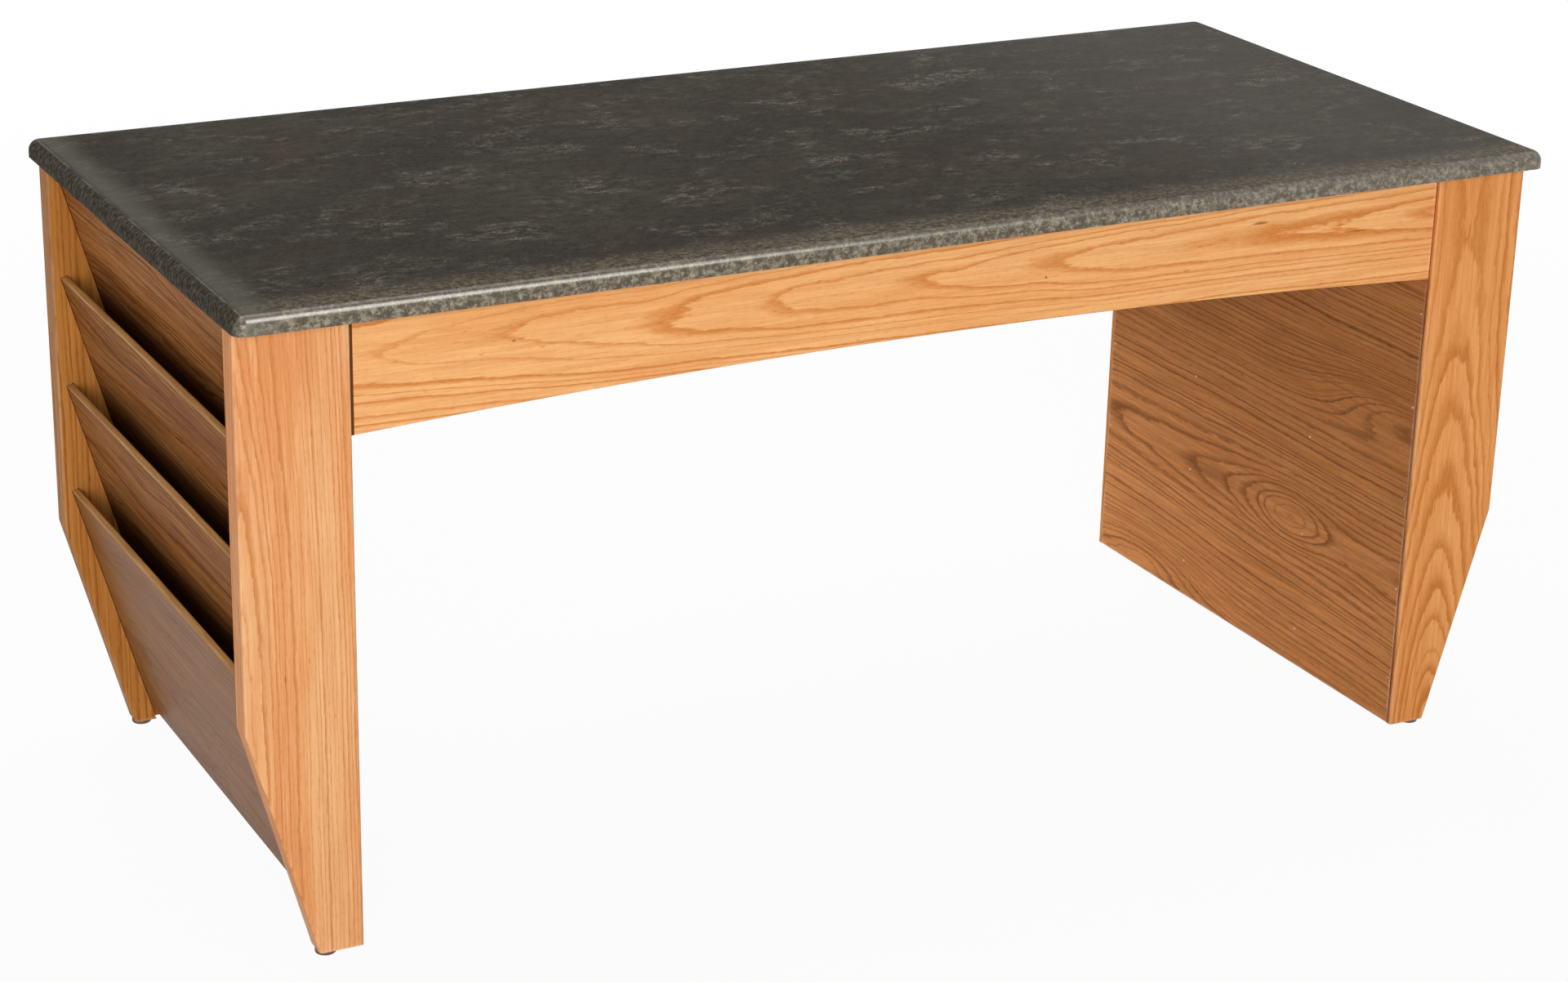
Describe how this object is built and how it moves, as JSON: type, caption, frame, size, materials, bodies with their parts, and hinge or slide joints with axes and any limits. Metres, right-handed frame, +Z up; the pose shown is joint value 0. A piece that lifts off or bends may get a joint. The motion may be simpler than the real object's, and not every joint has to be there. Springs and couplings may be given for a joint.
{
  "type": "magazine coffee table",
  "caption": "Coffee table with tapered oak leg boards, a thin dark stone-look top, an arched apron and leaning magazine pockets at both ends.",
  "frame": {"origin": "on the floor, under the middle of the tabletop", "axes": "+X along the table's length, to the right in the picture; +Y across it, from the front apron to the rear one; +Z up"},
  "size_m": [1.003, 0.459, 0.457],
  "materials": {
    "oak": "satin lacquered solid oak with open grain",
    "brown_veneer": "satin brown oak veneer on thin plywood",
    "pocket_plywood": "semi-gloss lacquered thin plywood",
    "softwood": "planed, unfinished",
    "beech": "turned, unfinished",
    "stone_laminate": "satin dark stone-look laminate",
    "core_board": "raw fibreboard",
    "backing_sheet": "plain brown balancing sheet",
    "brown_plastic": "moulded brown plastic",
    "zinc_steel": "zinc plated"
  },
  "bodies": {
    "root": {"tabletop_skin": "stone_laminate", "tabletop_core": "core_board", "tabletop_backer": "backing_sheet", "front_left_leg": "oak", "rear_left_leg": "oak", "front_right_leg": "oak", "rear_right_leg": "oak", "front_apron": "oak", "rear_apron": "oak", "left_end_panel": "brown_veneer", "right_end_panel": "brown_veneer", "left_back_pocket_panel": "pocket_plywood", "left_upper_pocket_panel": "pocket_plywood", "left_middle_pocket_panel": "pocket_plywood", "left_lower_pocket_panel": "pocket_plywood", "right_back_pocket_panel": "pocket_plywood", "right_upper_pocket_panel": "pocket_plywood", "right_middle_pocket_panel": "pocket_plywood", "right_lower_pocket_panel": "pocket_plywood", "left_upper_pocket_floor": "softwood", "left_middle_pocket_floor": "softwood", "left_lower_pocket_floor": "softwood", "right_upper_pocket_floor": "softwood", "right_middle_pocket_floor": "softwood", "right_lower_pocket_floor": "softwood", "front_cleat": "softwood", "rear_cleat": "softwood", "left_cleat": "softwood", "right_cleat": "softwood", "front_left_lower_dowel": "beech", "front_left_upper_dowel": "beech", "rear_left_lower_dowel": "beech", "rear_left_upper_dowel": "beech", "front_right_lower_dowel": "beech", "front_right_upper_dowel": "beech", "rear_right_lower_dowel": "beech", "rear_right_upper_dowel": "beech", "front_left_glide": "brown_plastic", "rear_left_glide": "brown_plastic", "front_right_glide": "brown_plastic", "rear_right_glide": "brown_plastic", "front_left_glide_nail": "zinc_steel", "rear_left_glide_nail": "zinc_steel", "front_right_glide_nail": "zinc_steel", "rear_right_glide_nail": "zinc_steel", "front_left_top_screw": "zinc_steel", "front_middle_top_screw": "zinc_steel", "front_right_top_screw": "zinc_steel", "rear_left_top_screw": "zinc_steel", "rear_middle_top_screw": "zinc_steel", "rear_right_top_screw": "zinc_steel", "left_end_top_screw": "zinc_steel", "right_end_top_screw": "zinc_steel"}
  },
  "joints": []
}
